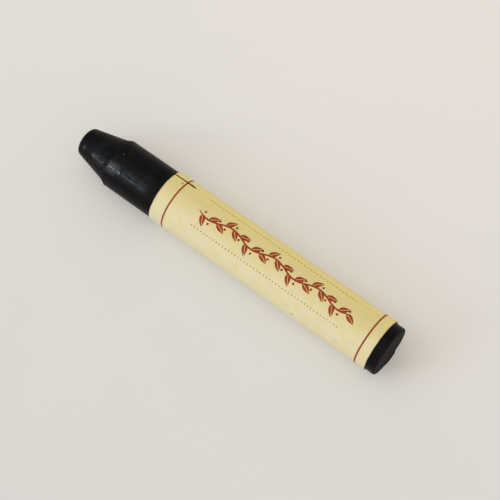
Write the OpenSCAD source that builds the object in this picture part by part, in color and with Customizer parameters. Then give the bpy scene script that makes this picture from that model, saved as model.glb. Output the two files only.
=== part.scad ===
// Stick crayon: a cast wax stick with a drawing tip, in a paper wrapper that is wound once
// around it, glued to itself along an overlapped seam, and free to slide on the wax.
// The stick lies along X with its drawing tip towards -X and rests on the plane z = 0.

/* [Wax stick] */
// Length of the stick, from the tip's end to the butt
stick_len = 89.1; // [70:0.1:140]
// Diameter of the barrel
wax_d = 12.6; // [10:0.05:20]
// Diameter of the tip's end, where the taper would meet it sharp
tip_d = 6.9; // [4:0.1:8]
// Rounding around the tip's end
tip_round = 1.25; // [0.4:0.05:1.6]
// Length of the tapered tip
taper_len = 8.9; // [5:0.1:16]
// Step in radius from the foot of the taper up to the barrel
ledge_step = 0.7; // [0.2:0.05:1.5]
// Length of the bevelled ledge between the taper and the barrel
ledge_len = 1.4; // [0.4:0.1:4]
// Rounding around the butt's rim
butt_round = 0.4; // [0.1:0.05:1.5]

/* [Paper wrapper] */
// Bare wax ahead of the wrapper, from the tip's end
tip_reveal = 24.4; // [12:0.1:40]
// Bare wax behind the wrapper, to the butt
butt_reveal = 2.55; // [0.5:0.05:12]
// Thickness of the paper
paper_t = 0.12; // [0.08:0.01:0.3]
// Gap all around between the wax and the paper
slide_clearance = 0.03; // [0.02:0.01:0.1]
// Width of the overlap, along the paper's inner face
overlap_w = 4.5; // [3:0.1:7]
// Angle in which the paper climbs from the wax to the height of its flap
climb_angle = 24; // [16:1:40]
// Angle between the end of the climb and the first edge under it
edge_gap_angle = 3; // [1:0.5:8]
// Place of the overlap's free edge, from the top of the stick towards +Y
seam_angle = 37; // [0:1:60]

/* [Seam glue] */
// Thickness of the glue film in the overlap
glue_t = 0.03; // [0.02:0.01:0.1]
// Dry margin between the film and the edges of the overlap
glue_margin = 0.5; // [0.2:0.1:1.2]

/* [Hidden] */

wax_r = wax_d / 2;
tip_r = tip_d / 2;
taper_foot_r = wax_r - ledge_step;

// The wrapper's turn on the wax, and the flap that lies over the turn's start
wrapper_len = stick_len - tip_reveal - butt_reveal;
turn_r = wax_r + slide_clearance;
turn_outer_r = turn_r + paper_t;
seam_rise = paper_t + glue_t;
flap_r = turn_r + seam_rise;
flap_angle = arc_angle(overlap_w, flap_r);
first_edge_angle = 90 - seam_angle - flap_angle;

// The climb is a turn of the same radius about a shifted centre. Seen from the stick's axis,
// landing_angle lies between the shift and the place where the climb reaches the flap.
climb_shift = seam_rise / sin(climb_angle);
landing_angle = acos((flap_r ^ 2 + climb_shift ^ 2 - turn_r ^ 2) / (2 * flap_r * climb_shift));
shift_angle = landing_angle - edge_gap_angle;
climb_start_angle = shift_angle - 180;

axis_height = turn_outer_r;

// Angle of an arc of a given length
function arc_angle(length, radius) = length / radius * 180 / PI;

// Point at a distance from the axis, in a given direction
function polar(distance, angle) = distance * [cos(angle), sin(angle)];

// Turns what is drawn along Z, from the tip's end, to lie along X at the axis: X to Y, Y to Z, Z to X
module along_stick() {
    translate([-stick_len / 2, 0, axis_height])
        rotate([90, 0, 90])
            children();
}

// Sharp corner of a profile less its rounding, between two edges that leave it in the given directions
module rounding_cut(corner, radius, direction_a, direction_b) {
    half_angle = acos(direction_a * direction_b) / 2;
    tangent_len = radius / tan(half_angle);
    bisector = (direction_a + direction_b) / norm(direction_a + direction_b);
    difference() {
        polygon([
            corner,
            corner + tangent_len * direction_a,
            corner + tangent_len * direction_b
        ]);
        translate(corner + radius / sin(half_angle) * bisector)
            circle(radius, $fn = 96);
    }
}

// Half section of the stick: radius across, length up from the tip's end
module wax_profile() {
    taper = [taper_foot_r - tip_r, taper_len];
    difference() {
        polygon([
            [0, 0],
            [tip_r, 0],
            [taper_foot_r, taper_len],
            [wax_r, taper_len + ledge_len],
            [wax_r, stick_len],
            [0, stick_len]
        ]);
        rounding_cut([tip_r, 0], tip_round, [-1, 0], taper / norm(taper));
        rounding_cut([wax_r, stick_len], butt_round, [-1, 0], [0, -1]);
    }
}

module wax_stick() {
    color([0.1, 0.1, 0.11])
        along_stick()
            rotate_extrude($fn = 180)
                wax_profile();
}

// Wedge about the axis, wider than the stick, between two angles
module sector(from_angle, to_angle) {
    reach = 2 * wax_d;
    steps = 4;
    step_angle = (to_angle - from_angle) / steps;
    polygon(concat(
        [[0, 0]],
        [for (i = [0:steps]) polar(reach, from_angle + i * step_angle)]
    ));
}

// Ring about the axis, between two radii
module ring(inner_r, outer_r) {
    difference() {
        circle(outer_r, $fn = 180);
        circle(inner_r, $fn = 180);
    }
}

// Disc under the lifted paper: the shifted turn of the climb, up to the flap
module lifted_disc(above_inner_face) {
    intersection() {
        translate(polar(climb_shift, shift_angle))
            circle(turn_r + above_inner_face, $fn = 180);
        circle(flap_r + above_inner_face, $fn = 180);
    }
}

// The paper's section, with its first edge at angle 0: one turn on the wax, the climb, and the flap
module wrapper_section() {
    difference() {
        union() {
            circle(turn_outer_r, $fn = 180);
            intersection() {
                lifted_disc(paper_t);
                sector(climb_start_angle, flap_angle);
            }
        }
        circle(turn_r, $fn = 180);
        intersection() {
            lifted_disc(0);
            sector(climb_start_angle, 0);
        }
        intersection() {
            ring(turn_outer_r, flap_r);
            sector(-edge_gap_angle / 2, flap_angle + edge_gap_angle);
        }
    }
}

module paper_wrapper() {
    color([0.88, 0.83, 0.62])
        along_stick()
            translate([0, 0, tip_reveal])
                rotate(first_edge_angle)
                    linear_extrude(wrapper_len)
                        wrapper_section();
}

// Film between the flap and the turn below it, inside the overlap's edges
module seam_glue() {
    margin_angle = arc_angle(glue_margin, flap_r);
    color([0.85, 0.8, 0.68])
        along_stick()
            translate([0, 0, tip_reveal + glue_margin])
                rotate(first_edge_angle)
                    linear_extrude(wrapper_len - 2 * glue_margin)
                        intersection() {
                            ring(turn_outer_r, flap_r);
                            sector(margin_angle, flap_angle - margin_angle);
                        }
}

wax_stick();
paper_wrapper();
seam_glue();
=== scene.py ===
"""Stick crayon: a cast wax stick in a printed paper wrapper, wound once and glued along its seam."""

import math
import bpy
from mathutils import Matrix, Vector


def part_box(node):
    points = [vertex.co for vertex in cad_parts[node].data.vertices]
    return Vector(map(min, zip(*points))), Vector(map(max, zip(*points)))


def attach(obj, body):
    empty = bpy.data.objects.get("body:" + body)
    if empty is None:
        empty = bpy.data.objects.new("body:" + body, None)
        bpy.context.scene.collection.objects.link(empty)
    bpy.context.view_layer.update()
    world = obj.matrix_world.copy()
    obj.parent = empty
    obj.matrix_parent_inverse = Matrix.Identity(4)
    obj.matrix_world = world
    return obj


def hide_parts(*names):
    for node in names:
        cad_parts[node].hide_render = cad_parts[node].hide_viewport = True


bl_info = {
    "name": "Wrapped Wax Stick",
    "version": (1, 0, 0),
    "blender": (4, 5, 0),
    "location": "View3D > Sidebar > Wax Stick",
    "description": "Dresses the packed frame of a wax stick and its paper wrapper",
    "category": "Add Mesh",
}

import bmesh
import bpy
import numpy as np
from bpy.props import (
    FloatProperty,
    FloatVectorProperty,
    IntProperty,
    PointerProperty,
)
from mathutils import Matrix, Vector, noise

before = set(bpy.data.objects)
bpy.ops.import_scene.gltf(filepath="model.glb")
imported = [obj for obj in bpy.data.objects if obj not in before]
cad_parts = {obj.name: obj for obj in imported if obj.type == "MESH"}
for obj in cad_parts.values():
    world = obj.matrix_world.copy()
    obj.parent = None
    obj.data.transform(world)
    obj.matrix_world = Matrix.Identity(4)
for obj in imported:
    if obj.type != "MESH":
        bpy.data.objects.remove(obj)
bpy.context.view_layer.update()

MM = 0.001
# Attribute that keeps each point's place on the flat sheet
SHEET_PLACE = "sheet_place"

WAX_LOW, WAX_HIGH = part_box("wax_stick")
PAPER_LOW, PAPER_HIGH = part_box("paper_wrapper")
AXIS_HEIGHT = (WAX_LOW.z + WAX_HIGH.z) / 2
# Middle of the tip's end
TIP_END = Vector((WAX_LOW.x, 0.0, AXIS_HEIGHT))
# Thickness of the paper in millimetres; the wrapper lies on the floor, under the wax
PAPER_GAUGE = 0.12


# Properties


def millimetres(name, description, default):
    """A length, given in millimetres."""
    return FloatProperty(
        name=name,
        description=description,
        default=default * MM,
        unit="LENGTH",
        precision=5,
    )


def degrees(name, description, default):
    """An angle, given in degrees."""
    return FloatProperty(
        name=name,
        description=description,
        default=math.radians(default),
        subtype="ANGLE",
    )


def plain_number(name, description, default, **kind):
    """A number, with the unit or subtype that fits it."""
    return FloatProperty(name=name, description=description, default=default, **kind)


def whole_number(name, description, default, least=0):
    """A whole number, no smaller than the least."""
    return IntProperty(name=name, description=description, default=default, min=least)


def linear(value):
    """Scene linear value of a screen value from 0 to 255."""
    share = value / 255
    return share / 12.92 if share <= 0.04045 else ((share + 0.055) / 1.055) ** 2.4


def screen_colour(name, description, red, green, blue):
    """A colour, given by its screen values from 0 to 255."""
    return FloatVectorProperty(
        name=name,
        description=description,
        default=(linear(red), linear(green), linear(blue)),
        size=3,
        min=0.0,
        max=1.0,
        subtype="COLOR",
    )


class WaxSettings(bpy.types.PropertyGroup):
    """Sizes and colours of the cast wax stick"""

    length: millimetres("Length", "From the tip's end to the butt", (WAX_HIGH.x - WAX_LOW.x) / MM)
    barrel_radius: millimetres("Barrel Radius", "Radius of the barrel", (WAX_HIGH.z - WAX_LOW.z) / 2 / MM)
    tip_radius: millimetres("Tip Radius", "Radius where the taper would meet the tip's end", 3.45)
    tip_rounding: millimetres("Tip Rounding", "Rounding around the tip's end", 1.25)
    taper_length: millimetres("Taper Length", "Length of the tapered tip", 8.9)
    ledge_step: millimetres("Ledge Step", "Step in radius from the taper up to the barrel", 0.7)
    ledge_length: millimetres("Ledge Length", "Length of the bevelled ledge", 1.4)
    ledge_rounding: millimetres("Ledge Rounding", "Softening of the ledge's two edges", 0.35)
    butt_rounding: millimetres("Butt Rounding", "Rounding around the butt's rim", 0.45)
    lump_height: millimetres("Lump Height", "Height of the soft lumps in the cast surface", 0.014)
    drag_depth: millimetres("Drag Depth", "Depth of the drag lines along the stick", 0.006)
    knob_height: millimetres("Knob Height", "Height of the small knobs around the ledge", 0.04)
    worked_reach: millimetres("Worked Reach", "How far the knobs reach from the ledge", 4.5)
    burr_height: millimetres("Burr Height", "Height of the burr on the butt's lower rim", 0.2)
    pit_count: whole_number("Pits", "Number of casting pits", 70)
    seed: whole_number("Seed", "Seed of the pits", 7)
    wax_colour: screen_colour("Wax", "Colour of the wax", 6, 6, 7)
    # Painted shade: the darker colour of the ledge's bevel.
    bevel_shade_colour: screen_colour("Bare Wax", "Colour of the wax where no bloom lies on it", 2, 2, 3)
    # Also the colour of the painted highlights on the butt's rim and behind the ledge.
    bloom_and_sheen_colour: screen_colour("Bloom", "Colour of the pale bloom and scuffs on the wax", 58, 58, 60)


class PaperSettings(bpy.types.PropertyGroup):
    """Sizes and colours of the wound paper wrapper"""

    length: millimetres("Length", "Along the stick", (PAPER_HIGH.x - PAPER_LOW.x) / MM)
    front_end: millimetres("Front End", "Place of the wrapper's front edge", PAPER_LOW.x / MM)
    turn_radius: millimetres("Turn Radius", "Radius of its inner face", AXIS_HEIGHT / MM - PAPER_GAUGE)
    thickness: millimetres("Thickness", "Thickness of the paper", PAPER_GAUGE)
    glue_thickness: millimetres("Glue Thickness", "Thickness of the glue in the overlap", 0.03)
    overlap: millimetres("Overlap", "Width of the overlap", 4.5)
    climb_angle: degrees("Climb Angle", "Turn in which the paper climbs to its flap", 28)
    edge_gap_angle: degrees("Edge Gap", "Turn between the climb and the first edge", 3)
    seam_angle: degrees("Seam Angle", "Free edge of the flap, from the top of the stick", 37)
    wave_height: millimetres("Wave Height", "Height of the slow waves in the paper", 0.035)
    flare: millimetres("Flare", "Lift of the paper at its cut ends", 0.06)
    trim: millimetres("Trim", "Unevenness of the cut ends", 0.12)
    skew: millimetres("Skew", "How far the winding runs along the stick", 0.04)
    seam_lift: millimetres("Seam Lift", "Height of the opening under the flap's front corner", 0.16)
    lift_length: millimetres("Lift Length", "Length of that opening", 6.4)
    paper_colour: screen_colour("Paper", "Colour of the paper", 223, 214, 180)
    tone_colour: screen_colour("Paper Tone", "Deeper tone in the paper", 220, 207, 140)
    # Painted shade on the upper side of the wrapper.
    top_shade_colour: screen_colour("Aged Paper", "Colour of the yellowed upper side", 219, 205, 142)
    # Partly the double paper, partly painted light at the overlap and beside it.
    lap_and_light_colour: screen_colour("Lapped Paper", "Colour of the paper where it lies double", 241, 227, 146)
    smear_colour: screen_colour("Smear", "Colour of wax rubbed into the paper", 30, 30, 24)


class PrintSettings(bpy.types.PropertyGroup):
    """Sizes and colours of the ornament printed on the wrapper"""

    front_line: millimetres("Front Line", "From the front edge to the front line", 3.75)
    rear_line: millimetres("Rear Line", "From the rear line to the rear edge", 2.75)
    line_width: millimetres("Line Width", "Width of the two lines", 0.42)
    film: millimetres("Film", "Height of the ink on the paper", 0.012)
    centre_angle: degrees("Centre", "Middle of the vine, from the top towards the near side", 3)
    vine_start: millimetres("Vine Start", "From the front edge to the vine", 10.5)
    vine_length: millimetres("Vine Length", "Length of the vine", 43.0)
    vine_height: millimetres("Vine Height", "Height of the stem's waves", 0.75)
    waves: plain_number("Waves", "Waves of the stem", 3.5)
    stem_width: millimetres("Stem Width", "Width of the stem", 0.42)
    leaves: whole_number("Leaves", "Number of leaves", 21, least=1)
    leaf_length: millimetres("Leaf Length", "Length of a leaf", 2.9)
    leaf_width: millimetres("Leaf Width", "Width of half a leaf", 0.62)
    vein_width: millimetres("Vein Width", "Bare line down the middle of a leaf", 0.11)
    leaf_angle: degrees("Leaf Angle", "Angle between a leaf and the stem", 38)
    berry_radius: millimetres("Berry Radius", "Radius of a berry", 0.3)
    dot_radius: millimetres("Dot Radius", "Radius of a dot in the two fine rows", 0.14)
    dot_spacing: millimetres("Dot Spacing", "Distance between dots", 0.9)
    row_distance: millimetres("Row Distance", "From the vine's middle to a row of dots", 3.9)
    ink_colour: screen_colour("Ink", "Colour of the ink", 147, 57, 24)
    worn_colour: screen_colour("Worn Ink", "Colour of thin ink", 166, 80, 44)


class GlueSettings(bpy.types.PropertyGroup):
    """Colours of the glue in the seam"""

    glue_colour: screen_colour("Glue", "Colour of the dried glue", 214, 200, 162)
    dry_colour: screen_colour("Dry Glue", "Colour of its dry patches", 228, 219, 190)


class StageSettings(bpy.types.PropertyGroup):
    """Floor, lamps and camera"""

    azimuth: degrees("Azimuth", "Camera's place around the stick", 37.29)
    elevation: degrees("Elevation", "Camera's height above the floor", 66.34)
    distance: millimetres("Distance", "From the camera to its target", 400.0)
    target_x: millimetres("Target X", "What the camera looks at, along the stick", 4.01)
    target_y: millimetres("Target Y", "What the camera looks at, across the stick", 0.92)
    lens: plain_number("Lens", "Focal length", 123.98, unit="CAMERA")
    floor_radius: millimetres("Floor Radius", "Radius of the floor", 2500.0)
    floor_colour: screen_colour("Floor", "Colour of the floor", 235, 234, 235)
    # Painted shade: the floor's deeper colour on the near side.
    floor_near_shade: screen_colour("Floor Tone", "Deeper tone of the floor, on the near side", 220, 221, 225)
    floor_light: screen_colour("Floor Light", "Light that the open floor sends back", 248, 243, 222)
    floor_glow: plain_number(
        "Floor Glow",
        "Share of the floor's look that no shadow reaches",
        0.28,
        subtype="FACTOR",
        min=0.0,
        max=1.0,
    )
    key_colour: screen_colour("Key", "Colour of the key lamp", 156, 212, 255)
    key_power: plain_number("Key Power", "Power of the key lamp", 14.0, unit="POWER")
    high_colour: screen_colour("High", "Colour of the high lamp", 255, 226, 184)
    high_power: plain_number("High Power", "Power of the high lamp", 10.4, unit="POWER")
    strip_colour: screen_colour("Strip", "Colour of the strip lamp, which shows the gloss", 255, 247, 250)
    strip_power: plain_number("Strip Power", "Power of the strip lamp", 1.8, unit="POWER")
    backdrop_colour: screen_colour("Backdrop", "Colour of what is seen behind the floor", 222, 219, 214)
    world_colour: screen_colour("World", "Colour of the light from all around", 255, 247, 238)
    world_strength: plain_number("World Strength", "Strength of the light from all around", 0.70)


def shown_values(settings):
    """The numbers of some settings, by the names that the sidebar shows."""
    values = {}
    for key in settings.__annotations__:
        value = getattr(settings, key)
        if isinstance(value, (int, float)):
            values[settings.bl_rna.properties[key].name] = float(value)
    return values


# Node trees


class Number:
    """A number in a node tree. Formulas on it become Math nodes."""

    def __init__(self, net, socket):
        self.net = net
        self.socket = socket

    def __add__(self, other):
        return self.net.math("ADD", self, other)

    __radd__ = __add__

    def __sub__(self, other):
        return self.net.math("SUBTRACT", self, other)

    def __rsub__(self, other):
        return self.net.math("SUBTRACT", other, self)

    def __mul__(self, other):
        return self.net.math("MULTIPLY", self, other)

    __rmul__ = __mul__

    def __truediv__(self, other):
        return self.net.math("DIVIDE", self, other)


class Net:
    """Adds nodes and links to one node tree."""

    # Distance between nodes in the editor
    COLUMN = 190

    def __init__(self, tree):
        self.tree = tree

    def feed(self, socket, value):
        """Links a socket or a Number into an input, or sets a plain value on it."""
        source = value.socket if isinstance(value, Number) else value
        if isinstance(source, bpy.types.NodeSocket):
            self.tree.links.new(source, socket)
        else:
            socket.default_value = source

    def node(self, kind, inputs=None, **settings):
        """A new node with its settings and inputs."""
        made = self.tree.nodes.new(kind)
        made.location.x = self.COLUMN * len(self.tree.nodes)
        for name, value in settings.items():
            setattr(made, name, value)
        for key, value in (inputs or {}).items():
            self.feed(made.inputs[key], value)
        return made

    def math(self, operation, *values):
        """A Math node's result."""
        made = self.node("ShaderNodeMath", operation=operation)
        for socket, value in zip(made.inputs, values):
            self.feed(socket, value)
        return Number(self, made.outputs[0])

    def most(self, first, *others):
        """The largest of some numbers."""
        for other in others:
            first = self.math("MAXIMUM", first, other)
        return first

    def smooth(self, value, low, high):
        """0 below low, 1 above high, and a smooth step between them."""
        made = self.node(
            "ShaderNodeMapRange",
            {"Value": value, "From Min": low, "From Max": high},
            interpolation_type="SMOOTHSTEP",
        )
        return Number(self, made.outputs[0])

    def fade(self, value, low, high):
        """1 below low, 0 above high, and a smooth step between them."""
        return 1.0 - self.smooth(value, low, high)

    def near(self, value, middle, low, high):
        """1 up to low on both sides of a middle, 0 beyond high, and a smooth step between them."""
        return self.fade(self.math("ABSOLUTE", value - middle), low, high)

    def split(self, vector):
        """The three numbers of a vector."""
        made = self.node("ShaderNodeSeparateXYZ", {0: vector})
        return [Number(self, output) for output in made.outputs]

    def join(self, x, y, z):
        """A vector of three numbers."""
        made = self.node("ShaderNodeCombineXYZ", {0: x, 1: y, 2: z})
        return made.outputs[0]

    def noise(self, vector, scale, detail=2.0, roughness=0.5):
        """Soft noise from 0 to 1."""
        made = self.node(
            "ShaderNodeTexNoise",
            {"Vector": vector, "Scale": scale, "Detail": detail, "Roughness": roughness},
        )
        return Number(self, made.outputs[0])

    def ramp(self, value, stops):
        """A number that follows straight lines between stops, given as place and height."""
        made = self.node("ShaderNodeValToRGB", {0: value})
        elements = made.color_ramp.elements
        while len(elements) < len(stops):
            elements.new(1.0)
        for element, (at, height) in zip(elements, stops):
            element.position = at
            element.color = (height, height, height, 1.0)
        return Number(self, made.outputs[0])

    def mix(self, factor, first, second, blend="MIX"):
        """First colour at factor 0, and at 1 the second, or the blend of both."""
        made = self.node(
            "ShaderNodeMix", {0: factor, 6: first, 7: second}, data_type="RGBA", blend_type=blend
        )
        return made.outputs[2]

    def mix_shaders(self, factor, first, second):
        """First shader node at factor 0, second at 1."""
        made = self.node("ShaderNodeMixShader", {0: factor, 1: first.outputs[0], 2: second.outputs[0]})
        return made.outputs[0]


def opaque(rgb):
    """A colour with full alpha."""
    return (rgb[0], rgb[1], rgb[2], 1.0)


def float_sockets(labels):
    """Number sockets for a group's interface."""
    return [(label, "NodeSocketFloat") for label in labels]


def new_group(name, kind, inputs, outputs):
    """An empty node group with named sockets, and its net, input node and output node."""
    tree = bpy.data.node_groups.new(name, kind)
    for label, socket_type in inputs:
        tree.interface.new_socket(name=label, in_out="INPUT", socket_type=socket_type)
    for label, socket_type in outputs:
        tree.interface.new_socket(name=label, in_out="OUTPUT", socket_type=socket_type)
    net = Net(tree)
    return tree, net, net.node("NodeGroupInput"), net.node("NodeGroupOutput")


def group_numbers(net, group_in, labels):
    """Inputs of a group as Numbers, by label."""
    return {label: Number(net, group_in.outputs[label]) for label in labels}


# Shader groups that several finishes share


def mask_group(name, labels, draw):
    """A group that draws a mask from a place and some numbers. It is made at its first use."""
    if name not in bpy.data.node_groups:
        _, net, group_in, group_out = new_group(
            name,
            "ShaderNodeTree",
            [("Vector", "NodeSocketVector")] + float_sockets(labels),
            [("Mask", "NodeSocketFloat")],
        )
        numbers = group_numbers(net, group_in, labels).values()
        net.feed(group_out.inputs["Mask"], draw(net, group_in.outputs["Vector"], *numbers))
    return bpy.data.node_groups[name]


def mottle_group():
    """Soft cloudy patches: bloom on the wax, tone in the paper, thin places in the ink."""

    def draw(net, place, scale, low, high):
        return net.smooth(net.noise(place, scale, 5.0, 0.6), low, high)

    return mask_group("Mottle", ["Scale", "Low", "High"], draw)


def streaks_group():
    """Lines drawn out along one way: drag lines in the wax, fibres in the paper."""

    def draw(net, place, scale, stretch, low, high):
        along, across, up = net.split(place)
        lines = net.noise(net.join(along / stretch, across, up), scale, 3.0, 0.65)
        return net.smooth(lines, low, high)

    return mask_group("Streaks", ["Scale", "Stretch", "Low", "High"], draw)


def specks_group():
    """Sparse round specks: dust on the wax, flecks in the paper, pinholes in the ink."""

    def draw(net, place, scale, radius, share):
        cells = net.node("ShaderNodeTexVoronoi", {"Vector": place, "Scale": scale})
        chance = net.split(cells.outputs["Color"])[0]
        inside = net.fade(cells.outputs["Distance"], radius * 0.5, radius)
        return inside * net.math("LESS_THAN", chance, share)

    return mask_group("Specks", ["Scale", "Radius", "Share"], draw)


class Finish(Net):
    """A procedural material: its net, its Principled shader and the shared groups."""

    def __init__(self, name, **constants):
        material = bpy.data.materials.new(name)
        material.use_nodes = True
        super().__init__(material.node_tree)
        self.material = material
        self.shader = material.node_tree.nodes["Principled BSDF"]
        for socket, value in constants.items():
            self.shader.inputs[socket.replace("_", " ")].default_value = value

    def group(self, tree, **inputs):
        """The mask of a shared group, placed with its own values."""
        made = self.node("ShaderNodeGroup", node_tree=tree)
        for name, value in inputs.items():
            self.feed(made.inputs[name], value)
        return Number(self, made.outputs["Mask"])

    def object_place(self):
        """Object coordinates in millimetres."""
        coordinates = self.node("ShaderNodeTexCoord")
        scaled = self.node("ShaderNodeMapping", {"Vector": coordinates.outputs["Object"]})
        scaled.inputs["Scale"].default_value = (1 / MM,) * 3
        return scaled.outputs[0]

    def sheet_place(self):
        """Place on the flat sheet: millimetres along and around, and 1 on the outer face."""
        attribute = self.node("ShaderNodeAttribute", attribute_name=SHEET_PLACE)
        return attribute.outputs["Vector"]

    def bump(self, height, distance):
        """Relief from a height, as deep as a distance in metres."""
        made = self.node("ShaderNodeBump", {"Height": height, "Distance": distance})
        self.feed(self.shader.inputs["Normal"], made.outputs["Normal"])

    def finish(self, colour, roughness):
        """Links the colour and the roughness, and gives the material."""
        self.feed(self.shader.inputs["Base Color"], colour)
        self.feed(self.shader.inputs["Roughness"], roughness)
        return self.material


# Objects


def link_object(name, data):
    """A new object at the origin for a mesh, a lamp or a camera."""
    obj = bpy.data.objects.new(name, data)
    bpy.context.scene.collection.objects.link(obj)
    return obj


# Mesh of the wax. Lengths in this section's constants are millimetres.

WAX_COLUMNS = 240
# Steps along the bare wax, and along the wax that the paper hides
FINE_STEP, COARSE_STEP = 0.15, 0.55
# Fine steps reach this far from the tip's end and from the butt
FINE_FRONT, FINE_REAR = 26.0, 4.0
# The last step of an edge may be this many times as long
LAST_STEP = 1.4
ARC_STEP = math.radians(9)
# Rings smaller than this are left to the fans that close both ends
POLE_RADIUS = 0.05

# Spans of the relief's noise, and the height of its slow swell
SWELL_SPAN, SWELL_HEIGHT = 9.0, 0.02
LUMP_SPAN = 1.5
DRAG_LENGTH, DRAG_WIDTH = 6.0, 0.45
KNOB_SPAN, KNOB_START = 0.8, Vector((3.0, 1.0, 5.0))
# The relief lies this deep on average, and rises no more than this above the barrel
RELIEF_SINK, BARREL_RISE = 0.012, 0.018

# Casting pits: least and most of their radius and depth, and their distance from both ends
PIT_RADIUS, PIT_DEPTH = (0.12, 0.32), (0.015, 0.05)
PIT_MARGIN = 1.0

# A crumb of wax stuck in a hollow: place from the tip's end, turn from +Y, radius and height of both
CRUMB_ALONG, CRUMB_TURN = 11.9, math.radians(87)
HOLLOW_RADIUS, HOLLOW_DEPTH = 0.5, 0.1
CRUMB_RADIUS, CRUMB_HEIGHT = 0.24, 0.13

# Unevenness of the ledge around the stick: how far it reaches along it, and how far it moves
WANDER_REACH, WANDER = 1.6, 0.16
# Radius and height of the circle on which its noise is read
WANDER_CIRCLE, WANDER_LEVEL = 2.0, 3.1

# Burr on the butt's rim, in degrees: its middle from +Y, and from there its start and its end,
# each with its softness
BURR_MIDDLE = -81
BURR_START, BURR_START_SOFT = -19, 7
BURR_END, BURR_END_SOFT = 17, 2
# Nick beside it: middle and width in degrees, depth as a share of the burr's height
NICK_MIDDLE, NICK_WIDTH, NICK_DEPTH = 27, 7, 0.4
# How far both reach from the rim, across the butt and along the barrel
BURR_ACROSS, BURR_ALONG = 0.8, 0.5


def wax_corners(settings):
    """Corners of the stick's half section: distance from the tip's end, radius, rounding."""
    foot_radius = settings.barrel_radius - settings.ledge_step
    ledge_end = settings.taper_length + settings.ledge_length
    return [
        (0.0, 0.0, 0.0),
        (0.0, settings.tip_radius, settings.tip_rounding),
        (settings.taper_length, foot_radius, settings.ledge_rounding),
        (ledge_end, settings.barrel_radius, settings.ledge_rounding),
        (settings.length, settings.barrel_radius, settings.butt_rounding),
        (settings.length, 0.0, 0.0),
    ]


def rounded_section(corners):
    """Points along a section, with an arc at each corner between its ends."""
    points = [Vector(corners[0][:2])]
    for before, corner, after in zip(corners, corners[1:], corners[2:]):
        place = Vector(corner[:2])
        rounding = corner[2]
        to_before = (Vector(before[:2]) - place).normalized()
        to_after = (Vector(after[:2]) - place).normalized()
        half = to_before.angle(to_after) / 2
        middle = place + (to_before + to_after).normalized() * rounding / math.sin(half)
        start = place + to_before * rounding / math.tan(half) - middle
        end = place + to_after * rounding / math.tan(half) - middle
        steps = max(3, math.ceil((math.pi - 2 * half) / ARC_STEP))
        for i in range(steps + 1):
            points.append(middle + start.slerp(end, i / steps) * rounding)
    points.append(Vector(corners[-1][:2]))
    return points


def spread_section(points, fine_until, fine_from):
    """The section cut into fine steps at both ends and coarse steps between them."""
    spread = [points[0]]
    for end in points[1:]:
        while True:
            last = spread[-1]
            fine = last.x < fine_until or last.x > fine_from
            step = (FINE_STEP if fine else COARSE_STEP) * MM
            left = end - last
            if left.length <= LAST_STEP * step:
                break
            spread.append(last + left.normalized() * step)
        spread.append(end)
    return spread


def ring_vectors(along, radius, turns):
    """Rings of vectors about X, with a length along it and a radius for each ring."""
    rings = np.zeros((len(along), len(turns), 3))
    rings[..., 0] = along[:, None]
    rings[..., 1] = radius[:, None] * np.cos(turns)
    rings[..., 2] = radius[:, None] * np.sin(turns)
    return rings


def lathe_mesh(name, rows):
    """Closed mesh of rings along X, given as rows of points, with a fan at both ends."""
    count, around = rows.shape[:2]
    points = rows.reshape(-1, 3)
    poles = [rows[0].mean(0), rows[-1].mean(0)]
    first_pole, last_pole = len(points), len(points) + 1
    last_row = (count - 1) * around
    faces = []
    for row in range(0, last_row, around):
        for j in range(around):
            k = (j + 1) % around
            faces.append((row + j, row + k, row + around + k, row + around + j))
    for j in range(around):
        k = (j + 1) % around
        faces.append((first_pole, k, j))
        faces.append((last_pole, last_row + j, last_row + k))
    mesh = bpy.data.meshes.new(name)
    mesh.from_pydata(points.tolist() + [pole.tolist() for pole in poles], [], faces)
    mesh.update()
    mesh.shade_smooth()
    return mesh


def rough(point):
    """Noise of two octaves, about 0."""
    return noise.fractal(point, 1.0, 2.0, 2)


def surface_height(place, settings):
    """Height of the cast surface at a place, a little inward on average, in metres."""
    point = place / MM
    swell = rough(point / SWELL_SPAN) * SWELL_HEIGHT * MM
    lumps = rough(point / LUMP_SPAN) * settings.lump_height
    drawn = Vector((point.x / DRAG_LENGTH, point.y / DRAG_WIDTH, point.z / DRAG_WIDTH))
    drags = noise.noise(drawn) * settings.drag_depth
    # The ledge and what lies next to it were worked by hand, and are knobbly
    from_ledge = place.x - settings.taper_length - settings.ledge_length / 2
    worked = math.exp(-((from_ledge / settings.worked_reach) ** 2))
    knobs = rough(point / KNOB_SPAN + KNOB_START) * settings.knob_height
    return swell + lumps + drags + knobs * worked - RELIEF_SINK * MM


def dent(points, centre, radius, height):
    """Height that one round bump or pit adds at each point."""
    square = ((points - np.array(centre)) ** 2).sum(-1)
    return height * np.exp(-square / radius**2)


def crumb_place(settings):
    """Place of the crumb behind the ledge, on the upper side, from the tip's end."""
    across = settings.barrel_radius * math.cos(CRUMB_TURN)
    up = settings.barrel_radius * math.sin(CRUMB_TURN)
    return (CRUMB_ALONG * MM, across, up)


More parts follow.
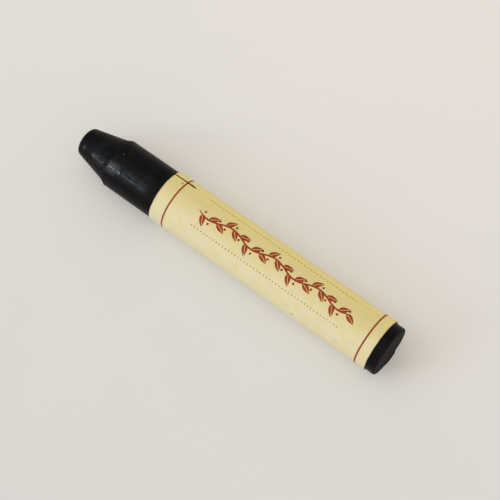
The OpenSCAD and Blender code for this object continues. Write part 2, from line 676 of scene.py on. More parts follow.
def cast_relief(rows, settings):
    """Height of the cast and handled surface at each point: its noise, pits and crumb."""
    relief = np.array([[surface_height(Vector(place), settings) for place in row] for row in rows])
    rng = np.random.default_rng(settings.seed)
    for _ in range(settings.pit_count):
        turn = rng.uniform(0, 2 * math.pi)
        along = rng.uniform(PIT_MARGIN * MM, settings.length - PIT_MARGIN * MM)
        radius = rng.uniform(*PIT_RADIUS) * MM
        depth = rng.uniform(*PIT_DEPTH) * MM
        row = np.argmin(np.abs(rows[:, 0, 0] - along))
        reach = math.hypot(rows[row, 0, 1], rows[row, 0, 2])
        centre = (along, reach * math.cos(turn), reach * math.sin(turn))
        relief += dent(rows, centre, radius, -depth)
    crumb = crumb_place(settings)
    relief += dent(rows, crumb, HOLLOW_RADIUS * MM, -HOLLOW_DEPTH * MM)
    relief += dent(rows, crumb, CRUMB_RADIUS * MM, CRUMB_HEIGHT * MM)
    # The wrapper slides over the barrel and has rubbed its high spots down
    before_barrel = settings.taper_length + settings.ledge_length - rows[..., 0]
    return np.minimum(relief, BARREL_RISE * MM + np.maximum(before_barrel, 0.0))


def ledge_wander(rows, turns, settings):
    """How far the ledge, which is cut a little unevenly, moves along the stick."""
    from_ledge = rows[..., 0] - settings.taper_length - settings.ledge_length / 2
    near_ledge = np.exp(-((from_ledge / (WANDER_REACH * MM)) ** 2))
    across, up = WANDER_CIRCLE * np.cos(turns), WANDER_CIRCLE * np.sin(turns)
    wander = np.array([noise.noise(Vector((y, z, WANDER_LEVEL))) for y, z in zip(across, up)])
    return near_ledge * wander[None, :] * WANDER * MM


def butt_burr(rows, turns, settings):
    """How far a burr, with a nick beside it, pushes out the lower rim of the butt."""
    from_middle = np.degrees((turns - math.radians(BURR_MIDDLE) + math.pi) % (2 * math.pi) - math.pi)
    rising = np.tanh((from_middle - BURR_START) / BURR_START_SOFT)
    falling = np.tanh((from_middle - BURR_END) / BURR_END_SOFT)
    nick = NICK_DEPTH * np.exp(-(((from_middle - NICK_MIDDLE) / NICK_WIDTH) ** 2))
    across = (np.hypot(rows[..., 1], rows[..., 2]) - settings.barrel_radius) / (BURR_ACROSS * MM)
    along = (rows[..., 0] - settings.length) / (BURR_ALONG * MM)
    near_rim = np.exp(-(across**2) - along**2)
    return settings.burr_height * ((rising - falling) / 2 - nick)[None, :] * near_rim


def wax_rows(settings):
    """Rings of points of the wax stick, with the relief of a cast and handled surface."""
    section = rounded_section(wax_corners(settings))
    section = spread_section(section, FINE_FRONT * MM, settings.length - FINE_REAR * MM)
    points = np.array([tuple(point) for point in section if point.y > POLE_RADIUS * MM])
    slopes = np.gradient(points, axis=0)
    slopes /= np.linalg.norm(slopes, axis=1)[:, None]
    turns = np.arange(WAX_COLUMNS) * 2 * math.pi / WAX_COLUMNS
    rows = ring_vectors(points[:, 0], points[:, 1], turns)
    normals = ring_vectors(-slopes[:, 1], slopes[:, 0], turns)
    relief = cast_relief(rows, settings)
    wander = ledge_wander(rows, turns, settings)
    rows += normals * relief[..., None]
    rows[..., 0] += wander
    rows[..., 0] += butt_burr(rows, turns, settings)
    return rows + np.array(TIP_END)


# Geometry node trees for the paper and its print. Lengths in this section's constants are millimetres.

ROLL_INPUTS = [
    "First Edge Angle",
    "Turn Radius",
    "Rise",
    "Climb Start",
    "Climb Length",
    "Axis Height",
    "Front End",
    "Sheet Length",
    "Sheet Width",
    "Wave Height",
    "Flare",
    "Trim",
    "Skew",
    "Seam Lift",
    "Lift Length",
]

PRINT_INPUTS = [
    "Film",
    "Front Line",
    "Rear Line",
    "Line Width",
    "Vine Middle",
    "Vine Start",
    "Vine Length",
    "Vine Height",
    "Waves",
    "Stem Width",
    "Leaves",
    "Leaf Length",
    "Leaf Width",
    "Vein Width",
    "Leaf Angle",
    "Berry Radius",
    "Dot Radius",
    "Dot Spacing",
    "Row Distance",
]

# Points of the sheet along the stick and around it
SHEET_ALONG, SHEET_AROUND = 150, 250
# Noise scales of the sheet's waves, its flared ends and its cut
WAVE_SCALE, FLARE_SCALE, TRIM_SCALE = 210.0, 330.0, 420.0
# How far the cut ends, the gaping flap and its pressed edge reach into the sheet
END_REACH, GAPE_REACH, PRESS_REACH = 0.9, 1.5, 0.7
# Share of its thickness that the flap's edge has lost, where it was rubbed down
PRESS = 0.6
# Shares of the seam's opening: how far it stands open at the front edge, where it widens and closes
GAPE_FRONT, GAPE_WIDENS, GAPE_CLOSES = 0.6, (0.3, 0.8), 0.84

# The ink is this many films deep. All but one lie in the paper, so that no gap shows under it
INK_FILMS = 3.0
# Points across a line, the stem or half a leaf, and along the stem and a leaf
LINE_POINTS, STEM_POINTS, LEAF_POINTS = 4, 160, 14
# Share of the stem's width that is left at its thin ends
STEM_END = 0.3
# A leaf is widest nearer to its base, the more so the lower this power is
LEAF_SWELL = 0.72
# Width of a leaf's ends and bend of its tip, as shares of half its width
LEAF_BLUNT, LEAF_BEND = 0.03, 0.5
# Share of the leaves' spacing that lies before the first leaf
LEAF_START = 0.6
# How far a berry lies ahead of its leaf, and how many of its radii beside the stem
BERRY_AHEAD, BERRY_ASIDE = 0.3, 1.5
BERRY_SIDES, BERRY_RINGS = 18, 2
DOT_SIDES, DOT_RINGS = 10, 1
# Noise scale of the ink's outlines, and how far they wander
SPREAD_SCALE, SPREAD = 1900.0, 0.09
# Angle from which an edge of the paper or the ink is sharp
SHARP_ANGLE = math.radians(45)


def roll_values(paper):
    """Sizes that wind the flat sheet around the wax, by input name."""
    rise = paper.thickness + paper.glue_thickness
    flap_angle = paper.overlap / (paper.turn_radius + rise)
    climb_end = 2 * math.pi - paper.edge_gap_angle
    return {
        **shown_values(paper),
        "First Edge Angle": math.pi / 2 - paper.seam_angle - flap_angle,
        "Rise": rise,
        "Climb Start": (climb_end - paper.climb_angle) * paper.turn_radius,
        "Climb Length": paper.climb_angle * paper.turn_radius,
        "Axis Height": AXIS_HEIGHT,
        "Sheet Length": paper.length,
        "Sheet Width": (2 * math.pi + flap_angle) * paper.turn_radius,
    }


def flap_gape(net, along, length):
    """How far the flap stands open: a little at the front edge, most near the end of the opening."""
    widens = net.smooth(along, length * GAPE_WIDENS[0], length * GAPE_WIDENS[1])
    opened = GAPE_FRONT + (1.0 - GAPE_FRONT) * widens
    return opened * net.fade(along, length * GAPE_CLOSES, length)


def point_place(net):
    """The three numbers of a point's place."""
    return net.split(net.node("GeometryNodeInputPosition").outputs[0])


def move(net, geometry, **where):
    """Geometry whose points are set to a Position, or moved by an Offset."""
    return net.node("GeometryNodeSetPosition", {"Geometry": geometry, **where}).outputs[0]


def join_parts(net, parts):
    """Several geometries as one."""
    made = net.node("GeometryNodeJoinGeometry")
    for part in parts:
        net.feed(made.inputs[0], part)
    return made.outputs[0]


def roll_group():
    """Winds flat geometry around the wax: X along the stick, Y around it, Z off the inner face."""
    name = "Roll Around Wax"
    if name in bpy.data.node_groups:
        return bpy.data.node_groups[name]
    tree, net, group_in, group_out = new_group(
        name,
        "GeometryNodeTree",
        [("Geometry", "NodeSocketGeometry")] + float_sockets(ROLL_INPUTS),
        [("Geometry", "NodeSocketGeometry")],
    )
    value = group_numbers(net, group_in, ROLL_INPUTS)
    along, around, off = point_place(net)
    turn = value["First Edge Angle"] + around / value["Turn Radius"]
    across = net.math("COSINE", turn)
    upward = net.math("SINE", turn)
    # Noise is read on the wound cylinder, so that both layers of the overlap move alike
    wound = net.join(along, across * value["Turn Radius"], upward * value["Turn Radius"])
    wave = net.noise(wound, WAVE_SCALE) * value["Wave Height"]
    from_rear = value["Sheet Length"] - along
    front_edge = net.math("EXPONENT", along / (-END_REACH * MM))
    rear_edge = net.math("EXPONENT", from_rear / (-END_REACH * MM))
    flare = value["Flare"] * (front_edge + rear_edge) * net.noise(wound, FLARE_SCALE)
    climb_end = value["Climb Start"] + value["Climb Length"]
    climb = value["Rise"] * net.smooth(around, value["Climb Start"], climb_end)
    # The flap's front corner gapes a little along its free edge
    free_edge = value["Sheet Width"]
    gape = flap_gape(net, along, value["Lift Length"])
    lift = value["Seam Lift"] * gape * net.smooth(around, free_edge - GAPE_REACH * MM, free_edge)
    press = 1.0 - PRESS * net.smooth(around, free_edge - PRESS_REACH * MM, free_edge)
    radius = value["Turn Radius"] + climb + wave + flare + lift + off * press
    # Uneven cut ends, and a winding that runs a little along the stick
    trim = value["Trim"] * (net.noise(wound, TRIM_SCALE, 3.0) - 0.5) * (front_edge - rear_edge)
    skew = value["Skew"] * (around / free_edge - 0.5)
    place = net.join(
        value["Front End"] + along + trim + skew,
        radius * across,
        value["Axis Height"] + radius * upward,
    )
    moved = move(net, group_in.outputs["Geometry"], Position=place)
    net.feed(group_out.inputs["Geometry"], moved)
    return tree


def start_tree(name, own_inputs):
    """A tree that makes a wound piece, with its net, its numbers by label and its output node."""
    labels = ["Thickness", *own_inputs, *ROLL_INPUTS]
    tree, net, group_in, group_out = new_group(
        name, "GeometryNodeTree", float_sockets(labels), [("Geometry", "NodeSocketGeometry")]
    )
    return tree, net, group_numbers(net, group_in, labels), group_out


def keep_place(net, geometry, thickness):
    """Stores each point's place on the flat sheet: millimetres along and around, 1 on the outer face."""
    along, around, off = point_place(net)
    place = net.join(along / MM, around / MM, off / thickness)
    stored = net.node(
        "GeometryNodeStoreNamedAttribute",
        {"Geometry": geometry, "Name": SHEET_PLACE},
        data_type="FLOAT_VECTOR",
        domain="POINT",
    )
    net.feed(stored.inputs["Value"], place)
    return stored.outputs[0]


def close_tree(net, value, group_out, geometry, material):
    """Keeps the flat places, winds the geometry, and ends the tree."""
    kept = keep_place(net, geometry, value["Thickness"])
    rolled = net.node("GeometryNodeGroup", node_tree=roll_group())
    net.feed(rolled.inputs["Geometry"], kept)
    for label in ROLL_INPUTS:
        net.feed(rolled.inputs[label], value[label])
    # Winding turns the faces inside out
    turned = net.node("GeometryNodeFlipFaces", {"Mesh": rolled.outputs[0]})
    real = net.node("GeometryNodeRealizeInstances", {"Geometry": turned.outputs[0]})
    finished = net.node(
        "GeometryNodeSetMaterial", {"Geometry": real.outputs[0], "Material": material}
    )
    net.feed(group_out.inputs["Geometry"], finished.outputs[0])


def cut_box(net, length, width, height, points):
    """A flat box about the origin, with a number of points along X and Y."""
    made = net.node(
        "GeometryNodeMeshCube",
        {
            "Size": net.join(length, width, height),
            "Vertices X": points[0],
            "Vertices Y": points[1],
            "Vertices Z": 2,
        },
    )
    return made.outputs["Mesh"]


def slab(net, low, length, width, height, points):
    """A flat box from a low corner, with a number of points along X and Y."""
    middle = net.join(low[0] + length * 0.5, low[1] + width * 0.5, low[2] + height * 0.5)
    made = cut_box(net, length, width, height, points)
    return net.node("GeometryNodeTransform", {"Geometry": made, "Translation": middle}).outputs[0]


def paper_tree(material):
    """The flat sheet of the wrapper, wound around the wax."""
    tree, net, value, group_out = start_tree("Paper Wrapper", [])
    sheet = slab(
        net,
        (0.0, 0.0, 0.0),
        value["Sheet Length"],
        value["Sheet Width"],
        value["Thickness"],
        (SHEET_ALONG, SHEET_AROUND),
    )
    close_tree(net, value, group_out, sheet, material)
    return tree


def ring_lines(net, value, level, film):
    """The two lines around the wrapper, near its ends."""
    width = value["Line Width"]
    for middle in (value["Front Line"], value["Sheet Length"] - value["Rear Line"]):
        low = (middle - width * 0.5, 0.0, level)
        yield slab(net, low, width, value["Sheet Width"], film, (LINE_POINTS, SHEET_AROUND))


def stem_pace(value):
    """Angle that the stem's wave runs through on each unit of length."""
    return value["Waves"] * (2 * math.pi) / value["Vine Length"]


def stem_height(net, value, x):
    """How far the stem lies from the vine's middle, at a place along it."""
    return net.math("SINE", x * stem_pace(value)) * value["Vine Height"]


def stem_slope(net, value, x):
    """Angle of the stem at a place along it."""
    pace = stem_pace(value)
    return net.math("ARCTANGENT", net.math("COSINE", x * pace) * pace * value["Vine Height"])


def vine_stem(net, value, level, film):
    """The waved stem of the vine, thinner at its ends."""
    low = (0.0, value["Stem Width"] * -0.5, level)
    straight = slab(net, low, value["Vine Length"], value["Stem Width"], film, (STEM_POINTS, LINE_POINTS))
    x, y, z = point_place(net)
    share = x / value["Vine Length"]
    thick = net.smooth(share, -0.02, 0.06) * net.fade(share, 0.94, 1.02)
    place = net.join(
        value["Vine Start"] + x,
        value["Vine Middle"] + stem_height(net, value, x) + y * (thick * (1.0 - STEM_END) + STEM_END),
        z,
    )
    return move(net, straight, Position=place)


def half_leaf(net, value, film):
    """One half of a leaf, from its base at the origin along X, on the side of +Y."""
    unit = cut_box(net, 1.0, 1.0, film, (LEAF_POINTS, LINE_POINTS))
    x, y, z = point_place(net)
    along = x + 0.5
    out = y + 0.5
    swell = net.math("SINE", net.math("POWER", along, LEAF_SWELL) * math.pi) + LEAF_BLUNT
    place = net.join(
        along * value["Leaf Length"],
        value["Vein Width"] * 0.5 + out * swell * value["Leaf Width"],
        z,
    )
    return move(net, unit, Position=place)


def leaf(net, value, film):
    """A leaf of two halves with a bare vein, bent a little to one side."""
    half = half_leaf(net, value, film)
    mirrored = net.node("GeometryNodeTransform", {"Geometry": half})
    mirrored.inputs["Scale"].default_value = (1.0, -1.0, 1.0)
    turned = net.node("GeometryNodeFlipFaces", {"Mesh": mirrored.outputs[0]})
    both = join_parts(net, [half, turned.outputs[0]])
    share = point_place(net)[0] / value["Leaf Length"]
    bend = share * share * value["Leaf Width"] * LEAF_BEND
    return move(net, both, Offset=net.join(0.0, bend, 0.0))


def disc(net, radius, film, sides, rings):
    """A flat round of ink, cut into rings, for a berry or a dot."""
    made = net.node(
        "GeometryNodeMeshCylinder",
        {"Vertices": sides, "Fill Segments": rings, "Radius": radius, "Depth": film},
    )
    return made.outputs["Mesh"]


def scatter(net, shape, count, place, turn=None):
    """A shape at each of a number of points, turned in the plane of the sheet."""
    points = net.node("GeometryNodePoints", {"Count": count, "Position": place})
    placed = net.node(
        "GeometryNodeInstanceOnPoints", {"Points": points.outputs[0], "Instance": shape}
    )
    if turn is not None:
        rotation = net.node("FunctionNodeEulerToRotation", {0: net.join(0.0, 0.0, turn)})
        net.feed(placed.inputs["Rotation"], rotation.outputs[0])
    return net.node("GeometryNodeRealizeInstances", {"Geometry": placed.outputs[0]}).outputs[0]


def vine_leaves(net, value, index, level, film):
    """The leaves along the stem, on one side and the other in turn, each with a berry across from it."""
    side = 1.0 - 2.0 * net.math("MODULO", index, 2.0)
    x = (index + LEAF_START) / value["Leaves"] * value["Vine Length"]
    along = value["Vine Start"] + x
    stem = value["Vine Middle"] + stem_height(net, value, x)
    turn = stem_slope(net, value, x) + side * value["Leaf Angle"]
    place = net.join(along, stem, level)
    yield scatter(net, leaf(net, value, film), value["Leaves"], place, turn)
    aside = value["Stem Width"] + value["Berry Radius"] * BERRY_ASIDE
    place = net.join(along + BERRY_AHEAD * MM, stem - side * aside, level)
    berry = disc(net, value["Berry Radius"], film, BERRY_SIDES, BERRY_RINGS)
    yield scatter(net, berry, value["Leaves"], place)


def dot_rows(net, value, index, level, film):
    """The two fine rows of dots, on both sides of the vine."""
    dot = disc(net, value["Dot Radius"], film, DOT_SIDES, DOT_RINGS)
    count = net.math("FLOOR", value["Vine Length"] / value["Dot Spacing"])
    along = value["Vine Start"] + (index + 0.5) * value["Dot Spacing"]
    for side in (-1.0, 1.0):
        place = net.join(along, value["Vine Middle"] + value["Row Distance"] * side, level)
        yield scatter(net, dot, count, place)


def print_tree(material):
    """The printed lines and vine, drawn flat in ink and wound with the paper."""
    tree, net, value, group_out = start_tree("Label Print", PRINT_INPUTS)
    film = value["Film"] * INK_FILMS
    level = value["Thickness"] - value["Film"] * (INK_FILMS - 1.0)
    middle = level + film * 0.5
    index = Number(net, net.node("GeometryNodeInputIndex").outputs[0])
    parts = [
        *ring_lines(net, value, level, film),
        vine_stem(net, value, level, film),
        *vine_leaves(net, value, index, middle, film),
        *dot_rows(net, value, index, middle, film),
    ]
    # Ink spreads a little into the paper, so that its outlines aren't ruled
    spread = net.node("ShaderNodeTexNoise", {"Scale": SPREAD_SCALE, "Detail": 2.0})
    x, y = [(part - 0.5) * SPREAD * MM for part in net.split(spread.outputs["Color"])[:2]]
    bled = move(net, join_parts(net, parts), Offset=net.join(x, y, 0.0))
    close_tree(net, value, group_out, bled, material)
    return tree


def grow(name, tree, values):
    """A plain mesh object from a node tree, with its inputs set by name."""
    obj = link_object(name, bpy.data.meshes.new(name))
    modifier = obj.modifiers.new(name, "NODES")
    modifier.node_group = tree
    for item in tree.interface.items_tree:
        if item.item_type == "SOCKET" and item.in_out == "INPUT":
            modifier[item.identifier] = values[item.name]
    graph = bpy.context.evaluated_depsgraph_get()
    mesh = bpy.data.meshes.new_from_object(
        obj.evaluated_get(graph), preserve_all_data_layers=True, depsgraph=graph
    )
    if not mesh.polygons:
        raise RuntimeError(f"the node tree {tree.name} made no faces")
    obj.modifiers.clear()
    obj.data = mesh
    mesh.name = name
    mesh.shade_smooth()
    mesh.set_sharp_from_angle(angle=SHARP_ANGLE)
    return obj


# Finishes. Their places are millimetres.

# How far hands have polished the wax: distance from the tip's end, share
POLISH = [
    (1.4, 0.0),
    (2.0, 0.6),
    (2.6, 0.0),
    (4.4, 0.0),
    (5.6, 0.64),
    (8.2, 0.55),
    (9.2, 0.4),
    (10.3, 1.0),
    (12.2, 1.0),
    (14.0, 0.55),
    (18.0, 0.4),
    (20.0, 0.5),
    (22.0, 0.0),
]
POLISH_END = 24.0
# The polished band: turn from the top towards the near side, what it turns more on the taper,
# and half its width where it is full and where it ends
BAND_TURN, TAPER_TURN = math.radians(37), math.radians(8)
BAND_CORE, BAND_REACH = math.radians(6), math.radians(20)
# The patch in it, scuffed pale and painted as a highlight: distance behind the ledge and half its length,
# turn and half its width
PATCH_BEHIND, PATCH_CORE, PATCH_REACH = 0.9, 0.8, 2.0
PATCH_TURN, PATCH_TURN_CORE, PATCH_TURN_REACH = math.radians(-3), math.radians(7), math.radians(15)

# Small smudges of wax on the paper: places along and around the sheet, radius, depth of tone
SMUDGES = [(3.0, 5.55, 0.5, 0.6), (41.7, 17.3, 0.5, 0.45), (53.8, 16.0, 0.6, 0.12)]

# How far from the stick the floor's painted shade changes, across it
FLOOR_CHANGE = 110.0


def wax_finish(settings):
    """Near-black wax with pale bloom, drag lines, scuffed edges, painted highlights on the butt's rim and
    behind the ledge, painted shade on the bevel, and a gloss where it is handled.
    """
    net = Finish("Black Wax", Specular_IOR_Level=0.07, Coat_Roughness=0.13, Coat_IOR=1.45)
    place = net.object_place()
    bloom = net.group(mottle_group(), Vector=place, Scale=0.32, Low=0.45, High=0.8)
    drags = net.group(streaks_group(), Vector=place, Scale=1.6, Stretch=9.0, Low=0.5, High=0.85)
    grain = net.group(mottle_group(), Vector=place, Scale=4.5, Low=0.3, High=0.7)
    dust = net.group(specks_group(), Vector=place, Scale=1.1, Radius=0.09, Share=0.16)
    x, y, z = net.split(place)
    rise = z - AXIS_HEIGHT / MM
    # The butt's cut face is dull, and its rim is painted pale: partly rubbed, partly a painted highlight
    # along its rounded edge
    butt = WAX_HIGH.x / MM
    barrel = settings.barrel_radius / MM
    from_axis = net.math("SQRT", y * y + rise * rise)
    cut = net.smooth(x, butt - 0.6, butt - 0.25)
    rim = cut * net.smooth(from_axis, barrel - 1.1, barrel - 0.25)
    crumb = (Vector(crumb_place(settings)) + TIP_END) / MM
    offset = net.node("ShaderNodeVectorMath", {0: place, 1: crumb}, operation="DISTANCE")
    on_crumb = net.fade(offset.outputs["Value"], 0.1, 0.36)
    # The bevel of the ledge was pressed in last and is bare of bloom, and it is painted darker: painted
    # shade in place of the dim reflection in it
    bevel_start = settings.taper_length / MM
    bevel_end = bevel_start + settings.ledge_length / MM
    from_tip = x - WAX_LOW.x / MM
    bare = net.smooth(from_tip, bevel_start - 0.4, bevel_start + 0.2)
    bare = bare * net.fade(from_tip, bevel_end - 0.3, bevel_end + 0.2)
    # Fingers have polished a broken band along the side of the tip, and a little all around it
    polish = net.ramp(from_tip / POLISH_END, [(at / POLISH_END, share) for at, share in POLISH])
    on_taper = net.fade(from_tip, bevel_start - 0.4, bevel_end)
    turn = net.math("ARCTAN2", y, rise) + BAND_TURN + on_taper * TAPER_TURN
    band = net.near(turn, 0.0, BAND_CORE, BAND_REACH)
    broken = net.group(mottle_group(), Vector=place, Scale=0.9, Low=0.32, High=0.62)
    # It is least broken just behind the ledge, where the wax is also painted pale: scuffs, and a painted
    # highlight that widens the gloss there
    worn = net.near(from_tip, bevel_end + PATCH_BEHIND, PATCH_CORE, PATCH_REACH)
    patch = worn * net.near(turn, PATCH_TURN, PATCH_TURN_CORE, PATCH_TURN_REACH)
    scuffs = net.group(mottle_group(), Vector=place, Scale=1.6, Low=0.36, High=0.56)
    unbroken = 0.25 + net.most(broken, worn * 0.8) * 0.75
    gloss = (band * (0.78 - worn * 0.1) + 0.05 * (1.0 - bare)) * unbroken
    net.feed(net.shader.inputs["Coat Weight"], polish * gloss)
    # Painted highlights: the pale rim and the pale patch behind the ledge; the rest is bloom, drag lines,
    # dust and the crumb.
    bloom_dust_and_painted_sheen = net.most(bloom * 0.12 + drags * 0.06, rim * 0.2, dust * 0.35, on_crumb, patch * scuffs * 0.75)
    colour = net.mix(bloom_dust_and_painted_sheen * (1.0 - bare), opaque(settings.wax_colour), opaque(settings.bloom_and_sheen_colour))
    # The bevel is painted darker, a painted shade.
    colour = net.mix(bare, colour, opaque(settings.bevel_shade_colour))
    roughness = 0.38 + bloom * 0.06 + drags * 0.05 + grain * 0.03 + cut * 0.22 + bare * 0.15
    net.bump(grain * 0.5 + drags * 0.5, 0.008 * MM)
    return net.finish(colour, roughness)


def paper_finish(paper):
    """Uncoated paper: soft tone, fibres, a few flecks, soiled ends, a dark mark along the open seam,
    painted shade on the upper side and painted light at the overlap.
    """
    net = Finish("Wrapper Paper", Specular_IOR_Level=0.25)
    place = net.object_place()
    flat = net.sheet_place()
    along, around, outer = net.split(flat)
    tone = net.group(mottle_group(), Vector=place, Scale=0.45, Low=0.35, High=0.7)
    fibres = net.group(streaks_group(), Vector=flat, Scale=3.2, Stretch=5.0, Low=0.35, High=0.75)
    tooth = net.group(mottle_group(), Vector=place, Scale=7.0, Low=0.3, High=0.7)
    flecks = net.group(specks_group(), Vector=flat, Scale=0.16, Radius=0.028, Share=0.45)
    deeper = net.math("MINIMUM", tone * 0.5 + fibres * 0.25, 1.0)
    colour = net.mix(deeper, opaque(paper.paper_colour), opaque(paper.tone_colour))
    # The flap's free edge, and the place of the first turn that lies below it
    free_edge = roll_values(paper)["Sheet Width"] / MM
    below = free_edge - 2 * math.pi * paper.turn_radius / MM
    # The upper side is painted deeper and yellower: painted shade for the light that falls less on it
    # than on the near flank
    shaded = net.fade(around, below + 3.5, below + 9.8)
    colour = net.mix(shaded * (0.7 + tone * 0.3), colour, opaque(paper.top_shade_colour))
    # Painted lighter and yellower at the overlap and beside it: at the overlap partly because less of the
    # dark wax shows through the double paper, and on both a painted light on that side
    flap = net.smooth(around, free_edge - 9.0, free_edge - 2.0)
    beside = net.fade(around, below - 0.5, below + 3.5)
    colour = net.mix(net.most(flap, beside) * 0.75, colour, opaque(paper.lap_and_light_colour))
    # The open part of the seam is painted dark, and wax is rubbed into the cut ends and the inside
    opening = flap_gape(net, along, paper.lift_length / MM)
    reach = opening * 0.2 + 0.02
    seam = net.near(around, free_edge, reach * 0.6, reach) + net.near(around, below, reach * 0.6, reach)
    seam_darkening = net.math("MINIMUM", seam * net.smooth(opening, 0.0, 0.3), 1.0) * 0.9
    from_end = net.math("MINIMUM", along, paper.length / MM - along)
    soiled = net.fade(from_end, 0.0, 0.35) * (0.12 + tone * 0.25)
    rubbed = net.fade(outer, 0.2, 0.6) * (0.1 + tone * 0.35)
    dirt = net.most(seam_darkening, soiled, rubbed, flecks * 0.7)
    for smudge_along, smudge_around, radius, depth in SMUDGES:
        offset = net.join(along - smudge_along, around - smudge_around, 0.0)
        distance = net.node("ShaderNodeVectorMath", {0: offset}, operation="LENGTH").outputs["Value"]
        dirt = net.most(dirt, net.fade(distance, radius * 0.2, radius) * depth)
    colour = net.mix(dirt, colour, opaque(paper.smear_colour))
    roughness = 0.62 + tooth * 0.16
    net.bump(tooth * 0.6 + fibres * 0.4, 0.012 * MM)
    return net.finish(colour, roughness)


def ink_finish(settings):
    """Ink that sits thin on the paper's tooth."""
    net = Finish("Label Ink", Specular_IOR_Level=0.15)
    flat = net.sheet_place()
    thin = net.group(mottle_group(), Vector=flat, Scale=1.3, Low=0.4, High=0.8)
    tooth = net.group(mottle_group(), Vector=flat, Scale=7.0, Low=0.45, High=0.75)
    pinholes = net.group(specks_group(), Vector=flat, Scale=2.4, Radius=0.1, Share=0.2)
    wear = net.math("MINIMUM", thin * 0.35 + tooth * 0.3 + pinholes * 0.5, 1.0)
    colour = net.mix(wear, opaque(settings.ink_colour), opaque(settings.worn_colour))
    roughness = 0.5 + tooth * 0.2
    net.bump(tooth, 0.006 * MM)
    return net.finish(colour, roughness)


def glue_finish(settings):
    """Dried glue with duller patches."""
    net = Finish("Seam Glue", Specular_IOR_Level=0.4)
    place = net.object_place()
    dry = net.group(mottle_group(), Vector=place, Scale=0.9, Low=0.35, High=0.7)
    grain = net.group(streaks_group(), Vector=place, Scale=2.0, Stretch=4.0, Low=0.3, High=0.7)
    colour = net.mix(dry, opaque(settings.glue_colour), opaque(settings.dry_colour))
    roughness = 0.35 + dry * 0.25
    net.bump(grain, 0.006 * MM)
    return net.finish(colour, roughness)


def seen_rays(net):
    """1 on the rays that show the stage: straight to the eye, in gloss and through clear pieces."""
    rays = net.node("ShaderNodeLightPath").outputs
    return net.most(rays["Is Camera Ray"], rays["Is Glossy Ray"], rays["Is Transmission Ray"])


def floor_finish(settings):
    """Plain pale floor, painted deeper on the near side as painted shade, with a faint cloud in it."""
    net = Finish("Pale Floor", Specular_IOR_Level=0.2)
    place = net.object_place()
    cloud = net.group(mottle_group(), Vector=place, Scale=0.02, Low=0.3, High=0.7)
    # Painted shade: deeper towards the near side; the cloud adds a faint random tone.
    tone = net.fade(net.split(place)[1], -FLOOR_CHANGE, FLOOR_CHANGE) + (cloud - 0.5) * 0.1
    colour = net.mix(tone, opaque(settings.floor_colour), opaque(settings.floor_near_shade))
    # The floor glows a little to the eye and in reflections, which softens the shadows on it
    lit = net.mix(1.0, colour, opaque(settings.floor_light), "MULTIPLY")
    glow = net.node("ShaderNodeEmission", {"Color": lit})
    both = net.mix_shaders(seen_rays(net) * settings.floor_glow, net.shader, glow)
    net.feed(net.tree.nodes["Material Output"].inputs["Surface"], both)
    roughness = 0.75 + cloud * 0.1
    return net.finish(colour, roughness)


# Stage

FLOOR_SIDES = 96
# The floor lies this far below the part, in millimetres
FLOOR_DROP = 0.04
# Ways from the stick to the two round lamps, and their distance and width in metres
ROUND_LAMPS = {
    "key": Vector((-0.572, -0.572, 0.588)),
    "high": Vector((-0.276, -0.276, 0.92)),
}
LAMP_DISTANCE, LAMP_WIDTH = 2.2, 2.0
ALONG_STICK = Vector((1.0, 0.0, 0.0))
# The strip lamp: what it faces, the way to it, the way along it, and its size in metres
STRIP_TARGET = Vector((WAX_LOW.x + 13.0 * MM, -3.7 * MM, 11.5 * MM))
STRIP_PLACE = STRIP_TARGET + Vector((-0.548, -0.766, 0.336))
STRIP_ALONG = Vector((0.399, -0.075, 0.478))
STRIP_SIZE = (0.66, 0.08)
# The camera's sensor in millimetres, and where its view starts in metres
SENSOR_WIDTH = 36.0
CLIP_START = 0.01


def lay_floor(settings):
    """A round floor under the part."""
    mesh = bpy.data.meshes.new("floor")
    shape = bmesh.new()
    bmesh.ops.create_circle(shape, cap_ends=True, segments=FLOOR_SIDES, radius=settings.floor_radius)
    bmesh.ops.translate(shape, verts=shape.verts, vec=(0.0, 0.0, -FLOOR_DROP * MM))
    shape.to_mesh(mesh)
    shape.free()
    floor = link_object("floor", mesh)
    floor.data.materials.append(floor_finish(settings))


def light_world(scene, settings):
    """Even light from all around, and a backdrop in the floor's tone where the world is seen."""
    world = bpy.data.worlds.new("studio")
    world.use_nodes = True
    scene.world = world
    net = Net(world.node_tree)
    light = net.tree.nodes["Background"]
    net.feed(light.inputs["Color"], opaque(settings.world_colour))
    net.feed(light.inputs["Strength"], settings.world_strength)
    backdrop = net.node("ShaderNodeBackground", {"Color": opaque(settings.backdrop_colour)})
    both = net.mix_shaders(seen_rays(net), light, backdrop)
    net.feed(net.tree.nodes["World Output"].inputs["Surface"], both)


def add_lamp(name, settings, shape, size, place, target, length_way):
    """An area lamp with its own power and colour, which faces a target, its length along a given way."""
    lamp = bpy.data.lights.new(name, "AREA")
    lamp.shape = shape
    lamp.size, lamp.size_y = size
    lamp.energy = getattr(settings, f"{name}_power")
    lamp.color = getattr(settings, f"{name}_colour")
    back = (place - target).normalized()
    across = back.cross(length_way).normalized()
    along = across.cross(back)
    obj = link_object(name, lamp)
    obj.location = place
    obj.rotation_euler = Matrix((along, across, back)).transposed().to_euler()


def place_camera(scene, settings, target):
    """The camera that sees the stick as the photo does."""
    flat = math.cos(settings.elevation)
    way = Vector((
        flat * math.sin(settings.azimuth),
        -flat * math.cos(settings.azimuth),
        math.sin(settings.elevation),
    ))
    data = bpy.data.cameras.new("photo_camera")
    data.lens = settings.lens
    data.sensor_width = SENSOR_WIDTH
    data.clip_start = CLIP_START
    camera = link_object("photo_camera", data)
    camera.location = target + way * settings.distance
    camera.rotation_euler = (-way).to_track_quat("-Z", "Y").to_euler()
    scene.camera = camera


# Operators


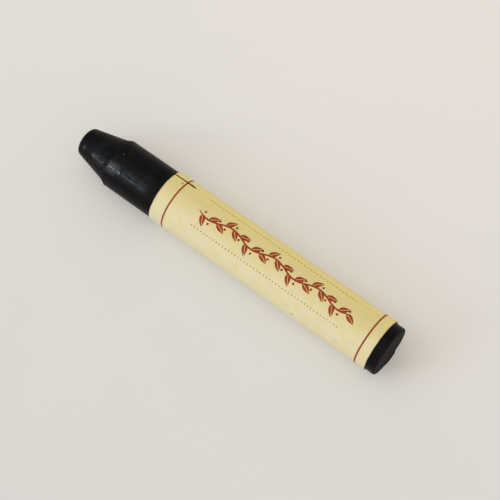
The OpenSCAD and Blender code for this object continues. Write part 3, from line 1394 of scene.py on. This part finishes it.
class STICK_OT_wax_stick(bpy.types.Operator):
    """Makes the cast wax stick, with its tip, ledge and butt"""

    bl_idname = "stick.wax_stick"
    bl_label = "Wax Stick"

    def execute(self, context):
        settings = context.scene.wax_stick
        obj = link_object("wax_body", lathe_mesh("wax_body", wax_rows(settings)))
        obj.data.materials.append(wax_finish(settings))
        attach(obj, "stick")
        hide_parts("wax_stick")
        return {"FINISHED"}


class STICK_OT_paper_wrapper(bpy.types.Operator):
    """Makes the wrapper: a flat sheet, wound once around the wax and lapped over itself"""

    bl_idname = "stick.paper_wrapper"
    bl_label = "Paper Wrapper"

    def execute(self, context):
        paper = context.scene.paper_wrapper
        obj = grow("wrapper_sheet", paper_tree(paper_finish(paper)), roll_values(paper))
        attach(obj, "sleeve")
        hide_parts("paper_wrapper")
        return {"FINISHED"}


class STICK_OT_label_print(bpy.types.Operator):
    """Prints the two lines, the vine and the fine rows of dots on the wrapper"""

    bl_idname = "stick.label_print"
    bl_label = "Label Print"

    def execute(self, context):
        paper = context.scene.paper_wrapper
        settings = context.scene.label_print
        values = {**shown_values(settings), **roll_values(paper)}
        middle_turn = math.pi / 2 + settings.centre_angle - values["First Edge Angle"]
        values["Vine Middle"] = middle_turn * paper.turn_radius
        obj = grow("label_print", print_tree(ink_finish(settings)), values)
        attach(obj, "sleeve")
        return {"FINISHED"}


class STICK_OT_seam_glue(bpy.types.Operator):
    """Gives the glue film in the seam its finish"""

    bl_idname = "stick.seam_glue"
    bl_label = "Seam Glue"

    def execute(self, context):
        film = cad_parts["seam_glue"]
        film.data.materials.clear()
        film.data.materials.append(glue_finish(context.scene.seam_glue))
        return {"FINISHED"}


class STICK_OT_stage(bpy.types.Operator):
    """Lays the floor and sets the lamps and the camera"""

    bl_idname = "stick.stage"
    bl_label = "Stage"

    def execute(self, context):
        scene = context.scene
        settings = scene.stick_stage
        target = Vector((settings.target_x, settings.target_y, AXIS_HEIGHT))
        lay_floor(settings)
        light_world(scene, settings)
        for name, way in ROUND_LAMPS.items():
            place = target + way * LAMP_DISTANCE
            add_lamp(name, settings, "DISK", (LAMP_WIDTH, LAMP_WIDTH), place, target, ALONG_STICK)
        # The reflection of this lamp runs from the taper over the ledge onto the barrel
        add_lamp("strip", settings, "RECTANGLE", STRIP_SIZE, STRIP_PLACE, STRIP_TARGET, STRIP_ALONG)
        place_camera(scene, settings, target)
        scene.view_settings.view_transform = "Standard"
        return {"FINISHED"}


class STICK_PT_sidebar(bpy.types.Panel):
    """Lists the pieces and the stage, with their settings"""

    bl_idname = "STICK_PT_sidebar"
    bl_label = "Wax Stick"
    bl_space_type = "VIEW_3D"
    bl_region_type = "UI"
    bl_category = "Wax Stick"

    def draw(self, context):
        for operator, settings in PIECES:
            box = self.layout.box()
            box.operator(operator)
            group = getattr(context.scene, settings)
            for name in group.__annotations__:
                box.prop(group, name)


# Operators with the names of their settings, in the order of making
PIECES = [
    ("stick.wax_stick", "wax_stick"),
    ("stick.paper_wrapper", "paper_wrapper"),
    ("stick.label_print", "label_print"),
    ("stick.seam_glue", "seam_glue"),
    ("stick.stage", "stick_stage"),
]

SETTINGS = {
    "wax_stick": WaxSettings,
    "paper_wrapper": PaperSettings,
    "label_print": PrintSettings,
    "seam_glue": GlueSettings,
    "stick_stage": StageSettings,
}

CLASSES = [
    *SETTINGS.values(),
    STICK_OT_wax_stick,
    STICK_OT_paper_wrapper,
    STICK_OT_label_print,
    STICK_OT_seam_glue,
    STICK_OT_stage,
    STICK_PT_sidebar,
]


def register():
    """Adds the classes, and the settings to every scene."""
    for cls in CLASSES:
        bpy.utils.register_class(cls)
    for name, group in SETTINGS.items():
        setattr(bpy.types.Scene, name, PointerProperty(type=group))


def unregister():
    """Takes away what register added."""
    for name in SETTINGS:
        delattr(bpy.types.Scene, name)
    for cls in reversed(CLASSES):
        bpy.utils.unregister_class(cls)


def main():
    """Makes every piece and the stage."""
    register()
    bpy.ops.stick.wax_stick()
    bpy.ops.stick.paper_wrapper()
    bpy.ops.stick.label_print()
    bpy.ops.stick.seam_glue()
    bpy.ops.stick.stage()


if __name__ == "__main__":
    main()
